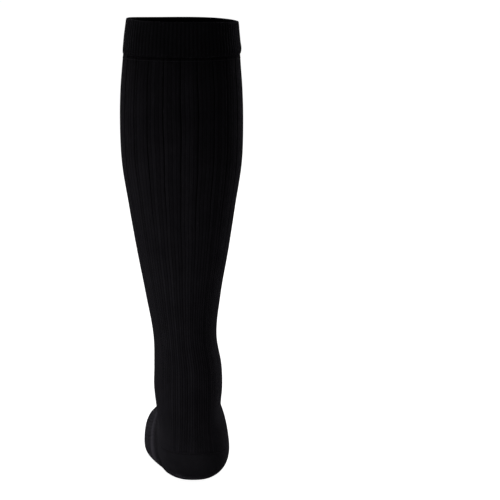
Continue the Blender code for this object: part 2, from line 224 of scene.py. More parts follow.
def course_numbers(points):
    """How many courses from the first row each row lies, and the first again at the loop's end."""
    steps = np.linalg.norm(np.roll(points, -1, axis=0) - points, axis=-1).mean(axis=1)
    return np.concatenate([[0.0], np.cumsum(steps)]) / COURSE


def add_node(tree, kind, inputs=None, **settings):
    """A shader node with its settings, and its inputs linked or set to values."""
    made = tree.nodes.new(kind)
    for name, value in settings.items():
        setattr(made, name, value)
    for name, value in (inputs or {}).items():
        if isinstance(value, bpy.types.NodeSocket):
            tree.links.new(value, made.inputs[name])
        else:
            made.inputs[name].default_value = value
    return made


def new_group(name, inputs, outputs):
    """An empty shader node group with (kind, name, value) inputs and (kind, name) outputs."""
    group = bpy.data.node_groups.new(name, "ShaderNodeTree")
    for kind, label, value in inputs:
        socket = group.interface.new_socket(label, in_out="INPUT", socket_type="NodeSocket" + kind)
        if value is not None:
            socket.default_value = value
    for kind, label in outputs:
        group.interface.new_socket(label, in_out="OUTPUT", socket_type="NodeSocket" + kind)
    return group, group.nodes.new("NodeGroupInput"), group.nodes.new("NodeGroupOutput")


STITCH_LEAN = 0.9              # how far the legs of a V stitch rise, in rows


def stitch_group():
    """Rows of V stitches on a UV map that counts stitches: their height, and where yarn lies.

    Across a stitch the two legs of the V lean towards its middle. Along a leg the height is a
    half round in the distance from its centre line, and it dips where legs meet side by side.
    """
    group, inputs, outputs = new_group("knit_stitches", [("Vector", "Stitches", None)],
                                       [("Float", "Height"), ("Float", "Yarn")])

    def maths(operation, first, second=0.0, third=0.0):
        made = add_node(group, "ShaderNodeMath", {0: first, 1: second, 2: third},
                        operation=operation)
        return made.outputs[0]

    split = add_node(group, "ShaderNodeSeparateXYZ", {0: inputs.outputs["Stitches"]})
    across = maths("ABSOLUTE", maths("MULTIPLY_ADD", maths("FRACT", split.outputs[0]), 2.0, -1.0))
    down = maths("FRACT", maths("MULTIPLY_ADD", across, STITCH_LEAN, split.outputs[1]))
    off_line = maths("MULTIPLY_ADD", down, 2.0, -1.0)
    round_leg = maths("SUBTRACT", 1.0, maths("MULTIPLY", off_line, off_line))
    from_leg = maths("ABSOLUTE", maths("MULTIPLY_ADD", across, 2.0, -1.0))
    side_dip = maths("SUBTRACT", 1.0, maths("POWER", from_leg, 3.0))
    yarn = maths("MULTIPLY", round_leg, side_dip)
    group.links.new(maths("SQRT", maths("MAXIMUM", yarn, 0.0)), outputs.inputs["Height"])
    group.links.new(yarn, outputs.inputs["Yarn"])
    return group


PAINTED_GROOVE_SHADE = 0.04             # painted shade: what a broad groove's bottom keeps of the yarn's colour
FOOT_PAINTED_LIGHT = 2.78               # painted light: how many times paler the yarn is painted towards the foot
PAINTED_LIGHT_START, PAINTED_LIGHT_END = -0.015, -0.36   # levels where that painted light begins and where it is full, m


def yarn_group():
    """The yarn's colour, mottled by its dye, with painted shade between stitches and in grooves,
    the creases' painted highlights and shade, and painted light that makes it paler towards the
    foot."""
    group, inputs, outputs = new_group("yarn_with_painted_shading", [
        ("Color", "Colour", (0.01, 0.01, 0.01, 1.0)), ("Float", "Yarn", 1.0),
        ("Float", "Colour Share With Painted Shading", 1.0), ("Vector", "Position", None),
    ], [("Color", "Colour"), ("Float", "Roughness")])
    clouds = add_node(group, "ShaderNodeTexNoise", {
        "Vector": inputs.outputs["Position"], "Scale": 38.0, "Detail": 3.0, "Roughness": 0.6})
    fibres = add_node(group, "ShaderNodeTexNoise", {
        "Vector": inputs.outputs["Position"], "Scale": 1900.0, "Detail": 2.0, "Roughness": 0.7})
    cloudy = add_node(group, "ShaderNodeMapRange", {
        "Value": clouds.outputs["Fac"], "From Min": 0.3, "From Max": 0.7,
        "To Min": 0.86, "To Max": 1.14})
    fibrous = add_node(group, "ShaderNodeMapRange", {
        "Value": fibres.outputs["Fac"], "From Min": 0.3, "From Max": 0.7,
        "To Min": 0.88, "To Max": 1.12})
    # Painted shade between the stitches, where little yarn lies.
    lit = add_node(group, "ShaderNodeMapRange", {
        "Value": inputs.outputs["Yarn"], "From Min": 0.0, "From Max": 0.6,
        "To Min": 0.45, "To Max": 1.0})
    # Painted shade in grooves and lines, and painted highlights on creases, from the point
    # attribute.
    groove = add_node(group, "ShaderNodeMapRange", {
        "Value": inputs.outputs["Colour Share With Painted Shading"], "From Min": 0.0, "From Max": 1.0,
        "To Min": PAINTED_GROOVE_SHADE, "To Max": 1.0}, clamp=False)
    height = add_node(group, "ShaderNodeSeparateXYZ", {0: inputs.outputs["Position"]})
    # Painted light: the yarn is painted paler lower down, towards the foot.
    painted_light_and_shade = add_node(group, "ShaderNodeMapRange", {
        "Value": height.outputs["Z"], "From Min": PAINTED_LIGHT_END, "From Max": PAINTED_LIGHT_START,
        "To Min": FOOT_PAINTED_LIGHT, "To Max": 1.0})
    share = cloudy.outputs[0]
    for factor in (fibrous, lit, groove, painted_light_and_shade):
        share = add_node(group, "ShaderNodeMath", {0: share, 1: factor.outputs[0]},
                         operation="MULTIPLY").outputs[0]
    shaded = add_node(group, "ShaderNodeVectorMath", {
        0: inputs.outputs["Colour"], "Scale": share}, operation="SCALE")
    dull = add_node(group, "ShaderNodeMapRange", {
        "Value": clouds.outputs["Fac"], "From Min": 0.3, "From Max": 0.7,
        "To Min": 0.66, "To Max": 0.8})
    group.links.new(shaded.outputs[0], outputs.inputs["Colour"])
    group.links.new(dull.outputs[0], outputs.inputs["Roughness"])
    return group


STITCH_GROUP = stitch_group()
YARN_GROUP = yarn_group()


def knit_material(name, colour, stitch_height=0.10):
    """Matt nylon knit: V stitches as bump, the yarn's colour with painted light and shade, and the
    fibres' sheen.
    """
    material = bpy.data.materials.new(name)
    material.use_nodes = True
    tree = material.node_tree
    shader = tree.nodes["Principled BSDF"]
    stitches = add_node(tree, "ShaderNodeUVMap", uv_map="stitches")
    # The point attribute: the share of the yarn's colour, with painted shade and painted
    # highlights.
    colour_share_with_painted_shading = add_node(tree, "ShaderNodeAttribute", attribute_name="colour_share_with_painted_shading")
    position = add_node(tree, "ShaderNodeTexCoord")
    knit = add_node(tree, "ShaderNodeGroup", node_tree=STITCH_GROUP)
    tree.links.new(stitches.outputs[0], knit.inputs["Stitches"])
    yarn = add_node(tree, "ShaderNodeGroup", node_tree=YARN_GROUP)
    yarn.inputs["Colour"].default_value = (*colour, 1.0)
    tree.links.new(knit.outputs["Yarn"], yarn.inputs["Yarn"])
    tree.links.new(colour_share_with_painted_shading.outputs["Fac"], yarn.inputs["Colour Share With Painted Shading"])
    tree.links.new(position.outputs["Object"], yarn.inputs["Position"])
    bump = add_node(tree, "ShaderNodeBump", {
        "Height": knit.outputs["Height"], "Distance": stitch_height * MM, "Strength": 1.0})
    tree.links.new(yarn.outputs["Colour"], shader.inputs["Base Color"])
    tree.links.new(yarn.outputs["Roughness"], shader.inputs["Roughness"])
    tree.links.new(bump.outputs["Normal"], shader.inputs["Normal"])
    shader.inputs["Specular IOR Level"].default_value = 0.0
    shader.inputs["Sheen Weight"].default_value = 0.35
    shader.inputs["Sheen Roughness"].default_value = 0.30
    shader.inputs["Sheen Tint"].default_value = (0.285, 0.272, 0.315, 1.0)
    return material


FINE_ROUND = 0.8               # exponent of the fine ribs' shape: less makes their crowns flatter


def fine_ridge(around):
    """Height of the fine ribs, from 0 between them to 1 on their crowns: a power of a sine."""
    return np.abs(np.sin(around * RIBS * FINE_RIBS / 2)) ** FINE_ROUND


def fine_profile(corners, step):
    """A closed profile's corners, with points added evenly on every side longer than step."""
    corners = np.array(corners)
    after = np.roll(corners, -1, axis=0)
    counts = np.maximum(1, np.ceil(np.linalg.norm((after - corners)[:, :2], axis=1) / step))
    return np.vstack([
        start + (end - start) * (np.arange(count) / count)[:, None]
        for start, end, count in zip(corners, after, counts)
    ])


WELT_COLUMNS = RIBS * FINE_RIBS * 8    # eight columns of its grid for each fine rib
WELT_STEP = 0.8                # longest step between the rows of its grid, mm
WELT_RIDGE = 0.4               # height of the fine ribs, mm
WELT_LINE_SHADE = 0.50         # how dark the lines between them are
WELT_LINE_WIDE = 1.5           # exponent of those lines: more makes them wider
# The band's yarn colour, painted darker than the leg's as painted shade towards the top of the
# stocking.
WELT_COLOUR_WITH_PAINTED_SHADE = (0.0095, 0.0091, 0.0108)
HEM_SHADE = 0.6                # how dark the fold under the lower edge is
HEM_FOLD = 33.2                # where that fold lies, mm below the rim
HEM_FOLD_HALF = 1.3            # and half its width, mm
# down: mm below the rim; raised: mm from the skin; ridges: share of WELT_RIDGE, negative inside.
# The profile starts on the rim, runs down the outside, turns under the hem and comes back inside.
WELT_PROFILE_COLUMNS = ("down", "raised", "ridges")
WELT_PROFILE = (
    (0.00, -0.55, 0.0), (0.06, -0.20, 0.2), (0.25, 0.12, 0.5), (0.60, 0.38, 0.8),
    (1.10, 0.50, 1.0), (4.00, 0.50, 1.0), (14.00, 0.45, 1.0), (24.00, 0.45, 1.0),
    (28.00, 0.55, 1.0), (30.00, 0.70, 0.9), (31.20, 0.75, 0.7), (31.90, 0.60, 0.5),
    (32.35, 0.30, 0.3), (32.50, -0.10, 0.1), (32.50, -0.80, 0.0), (32.40, -1.20, 0.0),
    (32.00, -1.45, -0.2), (30.80, -1.50, -0.5), (22.00, -1.50, -0.5), (4.00, -1.50, -0.5),
    (0.90, -1.50, -0.4), (0.35, -1.30, -0.2), (0.10, -1.00, 0.0),
)


def hem_light(places):
    """Share of the light left near the fold under the band's lower edge: 1 less a bell curve."""
    down = places - PLACE_OF["rim"]
    return 1 - HEM_SHADE * np.exp(-((down - HEM_FOLD) / HEM_FOLD_HALF) ** 2)


profile = dict(zip(WELT_PROFILE_COLUMNS, fine_profile(WELT_PROFILE, WELT_STEP).T))
angles = full_turn(WELT_COLUMNS)
ridges = profile["ridges"][:, None] * fine_ridge(angles)
places = (PLACE_OF["rim"] + profile["down"])[:, None] + 0.0 * angles
points = raised_skin(places, angles, profile["raised"][:, None] + WELT_RIDGE * ridges)
# Painted shade in the lines between the fine ribs and in the fold under the hem.
lines = np.abs(profile["ridges"])[:, None] * (1 - fine_ridge(angles) ** WELT_LINE_WIDE)
colour_share_with_painted_shading = (1 - WELT_LINE_SHADE * lines) * hem_light(places)
stitch_numbers = np.arange(WELT_COLUMNS + 1) * RIBS * FINE_RIBS * STITCHES / WELT_COLUMNS
welt = knitted("welt_cloth", points, stitch_numbers, course_numbers(points), colour_share_with_painted_shading)
welt.data.materials.append(knit_material("welt_nylon", WELT_COLOUR_WITH_PAINTED_SHADE))


def stitch_row(name, along, around, raised, slants, size):
    """A row of stitches as one mesh: the same small ball, stretched and turned along each thread.

    `slants` are the threads' angles from the way round the leg, and `size` is a thread's length,
    width and height over the cloth in mm.
    """
    ball = bmesh.new()
    bmesh.ops.create_uvsphere(ball, u_segments=8, v_segments=5, radius=0.5)
    corners = np.array([vertex.co for vertex in ball.verts])
    faces = [[vertex.index for vertex in face.verts] for face in ball.faces]
    ball.free()
    along = np.broadcast_to(along, around.shape)[None, :]
    centre = raised_skin(along, around, np.full(along.shape, raised))[0]
    round_it = skin(along, around + STEP_AROUND)[0] - skin(along, around - STEP_AROUND)[0]
    normal = raised_skin(along, around, np.ones(along.shape))[0] - skin(along, around)[0]
    round_it /= np.linalg.norm(round_it, axis=-1, keepdims=True)
    down = np.cross(round_it, normal)
    thread = round_it * np.cos(slants)[:, None] + down * np.sin(slants)[:, None]
    beside = np.cross(normal, thread)
    axes = np.stack([thread * size[0], beside * size[1], normal * size[2]], axis=1)
    points = centre[:, None, :] + np.einsum("vk,nkx->nvx", corners, axes)
    copies = [[corner + count * len(corners) for corner in face]
              for count in range(len(centre)) for face in faces]
    mesh = bpy.data.meshes.new(name)
    mesh.from_pydata((points.reshape(-1, 3) * MM).tolist(), [], copies)
    mesh.shade_smooth()
    piece = bpy.data.objects.new(name, mesh)
    bpy.context.scene.collection.objects.link(piece)
    return piece


def thread_material(name, colour):
    """Near-black nylon sewing thread, a little smoother than the knit: its twist as a bump."""
    material = bpy.data.materials.new(name)
    material.use_nodes = True
    tree = material.node_tree
    shader = tree.nodes["Principled BSDF"]
    position = add_node(tree, "ShaderNodeTexCoord")
    twist = add_node(tree, "ShaderNodeTexWave", {
        "Vector": position.outputs["Object"], "Scale": 900.0, "Distortion": 2.0},
        bands_direction="DIAGONAL")
    bump = add_node(tree, "ShaderNodeBump", {
        "Height": twist.outputs["Fac"], "Distance": 0.05 * MM, "Strength": 0.6})
    tree.links.new(bump.outputs["Normal"], shader.inputs["Normal"])
    shader.inputs["Base Color"].default_value = (*colour, 1.0)
    shader.inputs["Roughness"].default_value = 0.5
    shader.inputs["Specular IOR Level"].default_value = 0.10
    return material


def zigzag(count, slant):
    """Angles of stitches that slant to one side and to the other in turn."""
    return np.where(np.arange(count) % 2, slant, -slant)


THREAD = thread_material("nylon_thread", (0.0105, 0.0095, 0.012))
HEM_STITCHES = RIBS * FINE_RIBS * 3    # stitches in the row below the band, three for a fine rib
HEM_ROW_BELOW = 3.1            # from the band's lower edge down to that row, mm
HEM_ROW_RAISE = 0.72           # from the skin out to the middle of its threads, mm
HEM_THREAD = (1.2, 0.5, 0.5)   # length, width and height of one thread, mm
HEM_SLANT = 0.3                # and its slant, in radians

hem_stitches = stitch_row("hem_stitches", PLACE_OF["welt_end"] + HEM_ROW_BELOW,
                          full_turn(HEM_STITCHES), HEM_ROW_RAISE,
                          zigzag(HEM_STITCHES, HEM_SLANT), HEM_THREAD)
hem_stitches.data.materials.append(THREAD)
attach(hem_stitches, "root")

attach(welt, "root")
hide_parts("welt")

# ---- Leg ---------------------------------------------------------------------------------------
# The ribbed tube from the welt to the heel, one knitted stretch of 22 broad ribs with four fine
# ribs in each. Deep narrow grooves part the broad ribs, and they close up where the leg is thin.
RIB_ANGLE = 2 * math.pi / RIBS
LEG_COLUMNS = RIBS * FINE_RIBS * 6     # six columns of its grid for each fine rib
LEG_ROWS = 134                 # rows of it between those beside the leg's edges
PLAIN_RAISE = 0.5              # from the skin out to the level of plain knit, mm
PLAIN_INSIDE = 1.1             # and from the skin in to the knit's inside, mm
RIB_RAISE = 0.8                # crown of a broad rib over its grooves, mm
RIB_SHOULDER = 0.82            # its height beside a groove, as a share of its crown
GROOVE_HALF = 0.085            # half a groove's width, as a share of a rib's pitch
FINE_DEPTH = 0.30              # depth of the lines between fine ribs, mm
FINE_SHADE = 0.62              # how dark those lines are, where a broad groove is 1
SPLIT_DEPTH = 0.10             # depth of the line down the middle of each fine rib, mm
SPLIT_SHADE = 0.50             # how dark it is
SPLIT_HALF = 0.14              # and half its width, as a share of a fine rib
ANKLE_SHARE = 0.5              # what is left of the ribs' relief at the ankle
GROOVE_PALES = 0.65            # share of a broad groove's darkness that is gone there
FINE_DARKENS = 0.20            # and what the lines between fine ribs gain
UNEVEN = 0.10                  # how much one fine rib is paler or darker than another
PLAIN_SHADE = 0.42             # how dark plain knit is, where a broad groove is 1
RIBBED_COLOUR = (0.0160, 0.0149, 0.0180)
STRAY = 0.022                  # how far a rib strays to a side, as a share of its pitch
# One row for each wave of that: its share of STRAY, its mm along the leg for each radian, and its
# waves round the leg.
STRAY_WAVES = ((1.0, 23.0, 3), (0.6, 9.5, 7))

# The ribs run on behind the heel as a tongue between its plain sides. These are the turn from the
# back to the tongue's middle, half its width, and how far it then takes to fade.
TONGUE_MIDDLE = math.radians(10)
TONGUE_HALF = math.radians(32)
TONGUE_FADE = math.radians(14)
SIDES_START = -8.0             # where those plain sides begin, mm past "heel_back"
SIDES_FADE = 24.0              # and how much further down they are wholly plain, mm
SOLE_EDGE = math.radians(84)   # where the wholly plain sole ends, round from its middle
INSTEP_EDGE = math.radians(104)        # and where the wholly ribbed instep begins
GORE_RIBS = 7                  # ribs from the back of the heel round to the tip of each gore
GORE_TIP = 2.4                 # width of the heel pocket there, mm
GORE_TIP_FADE = 0.04           # how far past a gore's tip it closes, as a share of the way there
GORE_SLANT = 1.5               # exponent of the gores' slant: more draws the tips out longer
POCKET_END = 30.0              # the pocket's lower edge under the sole, mm past "heel_end"
SEAM_GAP = 0.10                # left between the places of neighbouring pieces, mm
EDGE_ROWS = (0.0, 0.35, 0.84)  # where a piece's first rows lie, mm from its edge
EDGE_DROP = (0.12, 0.04, 0.01)         # and how far they are lowered, mm
INSIDE_STEP = 5                # rows of the outside for each row of the inside

# One row for each crease, which runs part of the way round the stocking.
# section, past: where it lies, in mm past a named section; slant: its mm along for each radian;
# middle, reach: the middle of its run and half its length, in degrees; height: of a ridge, or of a
# trough where negative, mm; half_width: mm; painted light: a painted highlight along it, and
# painted shade where it is negative.
CREASES = (
    # Troughs at the ankle and heel, with painted shade along each.
    ("ankle", 14.0, 4.0, 176, 70, -0.40, 3.5, -0.15),
    ("ankle_bones", -2.0, -5.0, 186, 85, -0.50, 3.5, -0.20),
    ("ankle_bones", 11.0, 3.0, 178, 95, -0.55, 4.0, -0.20),
    ("heel_back", 6.0, -3.0, 182, 90, -0.50, 4.0, -0.20),
    ("heel_start", 6.0, 4.0, 177, 80, -0.40, 4.0, -0.15),
    # On each side of the foot a fold: a painted highlight along its crest, and painted shade in the
    # trough beside it.
    ("heel_end", 5.0, 0.0, 261, 62, 1.00, 8.0, 1.30),
    ("heel_end", -16.0, 0.0, 268, 62, -0.60, 9.0, -0.45),
    ("heel_end", 5.0, 0.0, 88, 55, 0.60, 7.0, 0.30),
    ("heel_end", -13.0, 0.0, 88, 55, -0.50, 7.0, -0.15),
)
CREASE_FADE = 2 / 3            # share of its reach over which a crease fades out at each end

RIB_TONES = np.random.default_rng(11).normal(0.0, UNEVEN, RIBS * FINE_RIBS)


def s_curve(share):
    """0 up to 0, 1 from 1, and between them the cubic curve that is level at both ends."""
    share = np.clip(share, 0.0, 1.0)
    return share * share * (3 - 2 * share)


def pocket_edges(around):
    """Places of the heel pocket's upper and lower edges, which close in on the gores' tips.

    From the back of the heel to a tip their spread falls as a power of a cosine, and past the tip
    the last of the pocket's width goes by an S curve.
    """
    gore = PLACE_OF["heel_round"]
    turn = np.abs((around + math.pi) % (2 * math.pi) - math.pi) / (GORE_RIBS * RIB_ANGLE)
    spread = np.where(turn < 1, np.cos(np.clip(turn, 0, 1) * math.pi / 2) ** GORE_SLANT, 0.0)
    tip = GORE_TIP / 2 * s_curve((1 + GORE_TIP_FADE - turn) / GORE_TIP_FADE)
    upper = gore - tip - spread * (gore - PLACE_OF["heel_swell"])
    lower = gore + tip + spread * (PLACE_OF["heel_end"] + POCKET_END - gore)
    return upper, lower


def sole_share(around):
    """1 round the plain sole and 0 over the ribbed instep, with an S curve between them."""
    from_sole = np.minimum(around, 2 * math.pi - around)
    return s_curve((INSTEP_EDGE - from_sole) / (INSTEP_EDGE - SOLE_EDGE))


def ribbed(along, around, plain):
    """Height of the ribbed knit in mm over its deepest grooves, and how open it is to the light.

    From a groove an S curve rises to the rib, whose crown is a flat parabola, and the fine ribs
    are cut into it as powers of a sine, each with a bell-shaped line down its middle. Two slow
    waves carry the ribs a little to each side. From the calf to the ankle the relief weakens and
    the broad grooves fade into the fine lines. Where `plain` is 1 it is all level.
    """
    stray = STRAY * sum(share * np.sin(along / length + waves * around)
                        for share, length, waves in STRAY_WAVES)
    pitch = around / RIB_ANGLE + stray
    number = np.floor(pitch * FINE_RIBS).astype(int) % (RIBS * FINE_RIBS)
    pitch = pitch % 1.0
    from_groove = np.minimum(pitch, 1 - pitch)
    groove = s_curve(from_groove / GROOVE_HALF)
    crown = RIB_SHOULDER + (1 - RIB_SHOULDER) * (1 - (1 - 2 * from_groove) ** 2)
    fine = fine_ridge(pitch * RIB_ANGLE)
    split = np.exp(-((pitch * FINE_RIBS % 1.0 - 0.5) / SPLIT_HALF) ** 2)
    calf, ankle = PLACE_OF["calf_foot"], PLACE_OF["ankle"]
    closed = s_curve((along - calf) / (ankle - calf))
    strength = 1 - (1 - ANKLE_SHARE) * closed
    height = groove * (RIB_RAISE * crown - FINE_DEPTH * (1 - fine) - SPLIT_DEPTH * split)
    height = PLAIN_RAISE + (height - PLAIN_RAISE) * strength * (1 - plain)
    # Painted shade in the broad grooves, the lines between the fine ribs and the line down each.
    broad_shade = (1 - groove) * (1 - GROOVE_PALES * closed)
    fine_shade = (FINE_SHADE + FINE_DARKENS * closed) * (1 - fine * fine) + SPLIT_SHADE * split
    shade = np.maximum(broad_shade, fine_shade)
    tone = 1 + RIB_TONES[number] * (1 - plain)
    return height, (1 - shade * (1 - plain) - PLAIN_SHADE * plain) * tone


def creases(along, around):
    """Height in mm of the soft troughs and ridges where the cloth gathers, and the painted
    highlight and shade along them.

    Each is a bell curve across its line, and towards its ends it fades by an S curve.
    """
    height = np.zeros(np.broadcast(along, around).shape)
    tone = height.copy()
    for section, past, slant, middle, reach, raise_by, half_width, painted_light_and_shade in CREASES:
        turn = (around - math.radians(middle) + math.pi) % (2 * math.pi) - math.pi
        fade = s_curve((1 - np.abs(turn) / math.radians(reach)) / CREASE_FADE)
        off_line = along - PLACE_OF[section] - past - slant * turn
        strength = fade * np.exp(-(off_line / half_width) ** 2)
        height += raise_by * strength
        tone += painted_light_and_shade * strength
    return height, tone


def tube_wall(name, along, around, raised, colour_share_with_painted_shading, stitches_round, round_it=True,
              blind_end=False):
    """A knitted wall round a stretch of the skin: fine rows outside and fewer rows inside.

    `along`, `raised` and the grid after them, the share of the yarn's colour with its painted
    shade, are grids for its outside, and its creases, with their painted highlights and shade, are
    added to them.
    The first and last rows are lowered, so that the cloth's edges look round.
    """
    drop = np.array(EDGE_DROP)[:, None]
    bent, tone = creases(along, around)
    raised = raised + bent
    colour_share_with_painted_shading = np.maximum(colour_share_with_painted_shading + tone, 0.0)
    raised[:len(drop)] -= drop
    if not blind_end:
        raised[-len(drop):] -= drop[::-1]
    inside = along[::INSIDE_STEP]
    if (len(along) - 1) % INSIDE_STEP:
        inside = np.vstack([inside, along[-1:]])
    outer = raised_skin(along, around, raised)
    inner = raised_skin(inside, around, np.full(inside.shape, -PLAIN_INSIDE))
    points = np.concatenate([outer, inner[::-1]])
    colour_share_with_painted_shading = np.concatenate([colour_share_with_painted_shading, np.full(inside.shape, 1 - PLAIN_SHADE)])
    columns = np.arange(len(around) + 1)
    stitch_numbers = columns * stitches_round / (len(around) if round_it else len(around) - 1)
    return knitted(name, points, stitch_numbers, course_numbers(points), colour_share_with_painted_shading, round_it,
                   len(along) - 1 if blind_end else None)


def row_shares(length, rows):
    """Even shares of a piece's length in mm, and EDGE_ROWS at each of its edges."""
    near = np.array(EDGE_ROWS) / length
    return np.concatenate([near, np.linspace(0, 1, rows + 2)[1:-1], 1 - near[::-1]])


angles = full_turn(LEG_COLUMNS)
first, last = PLACE_OF["welt_end"] + SEAM_GAP, PLACE_OF["heel_round"]
rings = (first + (last - first) * row_shares(last - first, LEG_ROWS))[:, None]
# Below the ankle bones the rows bend more and more, until the last follows the pocket's edge.
bend = s_curve((rings - PLACE_OF["ankle_bones"]) / (last - PLACE_OF["ankle_bones"]))
places = rings + bend * (pocket_edges(angles)[0] - SEAM_GAP / 2 - last)
# The heel leans to the right. The ribs behind it run straight down, so they are turned back.
lean = smooth(TABLE["back_x"], np.maximum(places, PLACE_OF["ankle_bones"]))
lean = (lean - smooth(TABLE["back_x"], PLACE_OF["ankle_bones"])) / smooth(TABLE["half"], places)
turned = angles + np.arcsin(lean) * (1 + np.cos(angles)) / 2
off_tongue = np.abs((turned - TONGUE_MIDDLE + math.pi) % (2 * math.pi) - math.pi) - TONGUE_HALF
low_down = (places - PLACE_OF["heel_back"] - SIDES_START) / SIDES_FADE
plain = s_curve(off_tongue / TONGUE_FADE) * sole_share(angles) * s_curve(low_down)
raised, colour_share_with_painted_shading = ribbed(places, turned, plain)
colour_share_with_painted_shading *= hem_light(places)
leg = tube_wall("leg_cloth", places, angles, raised, colour_share_with_painted_shading, RIBS * FINE_RIBS * STITCHES)
RIBBED_KNIT = knit_material("ribbed_nylon", RIBBED_COLOUR)
leg.data.materials.append(RIBBED_KNIT)
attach(leg, "root")
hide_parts("leg_calf", "leg_shin", "leg_ankle")

# ---- Heel --------------------------------------------------------------------------------------
# The plain cup of the heel, knitted to and fro on the needles at the back. Its rows get shorter and
# then longer again, which leaves a slanting line of crossed stitches, a gore, on each side.
POCKET_COLUMNS = 2 * GORE_RIBS * 20 + 1    # twenty columns of its grid for each broad rib
POCKET_ROWS = 96
POCKET_LENGTH = 60.0           # a middling length between its edges, to place its rows by, mm
POCKET_STITCHES = 2 * GORE_RIBS * FINE_RIBS * STITCHES
PLAIN_COLOUR = (0.0154, 0.0145, 0.0173)
PLAIN_STITCH = 0.12            # height of a stitch in plain knit, mm
GORE_START, GORE_FINISH = 2.4, 6.7     # where a gore runs, in ribs from the back of the heel
GORE_FADE = 0.5                # ribs over which its line fades at each end
GORE_HALF = 0.8                # half the line's width, mm
GORE_DIP = 0.22                # its depth, mm
GORE_SHADE = 0.3               # and how dark it is
GORE_COUNT = 44                # stitches along each gore
GORE_THREAD = (1.5, 0.42, 0.42)        # length, width and height of one thread, mm
GORE_THREAD_SLANT = 1.1        # its slant, in radians
GORE_SUNK = 0.1                # and how deep it lies in the knit, mm

angles = np.linspace(-GORE_RIBS, GORE_RIBS, POCKET_COLUMNS) * RIB_ANGLE
upper, lower = pocket_edges(angles)
upper, lower = upper + SEAM_GAP / 2, lower - SEAM_GAP / 2
shares = row_shares(POCKET_LENGTH, POCKET_ROWS)[:, None]
places = upper + shares * (lower - upper)
ribs_round = np.abs(angles) / RIB_ANGLE
gore_line = s_curve((ribs_round - GORE_START) / GORE_FADE)
gore_line *= s_curve((GORE_FINISH - ribs_round) / GORE_FADE)
off_gore = places - (upper + lower) / 2
dip = gore_line * np.exp(-(off_gore / GORE_HALF) ** 2)
# Painted shade along the gore's dip.
heel = tube_wall("heel_cloth", places, angles, PLAIN_RAISE - GORE_DIP * dip,
                 1 - PLAIN_SHADE - GORE_SHADE * dip, POCKET_STITCHES, round_it=False)
PLAIN_KNIT = knit_material("plain_nylon", PLAIN_COLOUR, PLAIN_STITCH)
heel.data.materials.append(PLAIN_KNIT)

gore_turns = np.linspace(GORE_START, GORE_FINISH, GORE_COUNT) * RIB_ANGLE
gore_turns = np.concatenate([gore_turns, -gore_turns])
upper, lower = pocket_edges(gore_turns)
gore_stitches = stitch_row("heel_gore_stitches", (upper + lower) / 2, gore_turns,
                           PLAIN_RAISE - GORE_SUNK, zigzag(len(gore_turns), GORE_THREAD_SLANT),
                           GORE_THREAD)
gore_stitches.data.materials.append(THREAD)
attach(gore_stitches, "root")
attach(heel, "root")
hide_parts("heel_pocket")

# ---- Foot --------------------------------------------------------------------------------------
# The tube of the foot. The ribs of the leg run on over the instep, and the sole is plain, so that
# nothing presses on the sole of the wearer's foot.
FOOT_COLUMNS = RIBS * FINE_RIBS * 6
FOOT_ROWS = 96

angles = full_turn(FOOT_COLUMNS)
first, last = PLACE_OF["heel_round"], PLACE_OF["toe_start"] - SEAM_GAP / 2
rings = (first + (last - first) * row_shares(last - first, FOOT_ROWS))[:, None]
# The first row follows the pocket's lower edge, and up to the ball the rows come level.
bend = 1 - s_curve((rings - first) / (PLACE_OF["ball_back"] - first))
places = rings + bend * (pocket_edges(angles)[1] + SEAM_GAP / 2 - first)
raised, colour_share_with_painted_shading = ribbed(places, angles, sole_share(angles))
foot = tube_wall("foot_cloth", places, angles, raised, colour_share_with_painted_shading, RIBS * FINE_RIBS * STITCHES)
foot.data.materials.append(RIBBED_KNIT)
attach(foot, "root")
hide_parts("foot")

# ---- Toe ---------------------------------------------------------------------------------------
# The plain closed toe, knitted as a pocket like the heel. A row of linking stitches joins it to the
# instep over the toes, and a gore runs forwards from each end of that row.
TOE_COLUMNS = RIBS * 16        # sixteen columns of its grid for each broad rib of the instep
TOE_ROWS = 64
TOE_EDGE_ROWS = (0.008, 0.02)  # where two more rows lie near its edge, as shares of its length
TOE_EVEN_START = 0.03          # and where the others begin
TOE_CLOSED = 0.02              # width of the last ring before the tip, as a share of the first's
LINK_COUNT = 92                # stitches of the seam over the toes
LINK_THREAD = (1.7, 0.5, 0.6)  # length, width and height of one thread, mm
LINK_SLANT = 1.25              # and its slant, in radians
TOE_GORE_COUNT = 26            # stitches along each gore of the toe
TOE_GORE_SPAN = (0.02, 0.72)   # where a gore starts and ends, as shares of the toe's length
TOE_GORE_THREAD = (1.4, 0.42, 0.42)    # length, width and height of one thread, mm
TOE_GORE_THREAD_SLANT = -0.5   # and its slant, in radians

angles = full_turn(TOE_COLUMNS)
first, last = PLACE_OF["toe_start"] + SEAM_GAP / 2, PLACE_OF["toe_tip"]
drawn_in = np.linspace(1.0, TOE_CLOSED, TOE_ROWS)
closing = (1 - drawn_in ** TOE_BLUNT_WIDE) ** (1 / TOE_BLUNT_WIDE)
closing = np.concatenate([closing[:1], TOE_EDGE_ROWS, closing[closing > TOE_EVEN_START]])
places = (first + (last - first) * closing)[:, None] + 0.0 * angles
toe = tube_wall("toe_cloth", places, angles, np.full(places.shape, PLAIN_RAISE),
                np.full(places.shape, 1 - PLAIN_SHADE), RIBS * FINE_RIBS * STITCHES,
                blind_end=True)
toe.data.materials.append(PLAIN_KNIT)

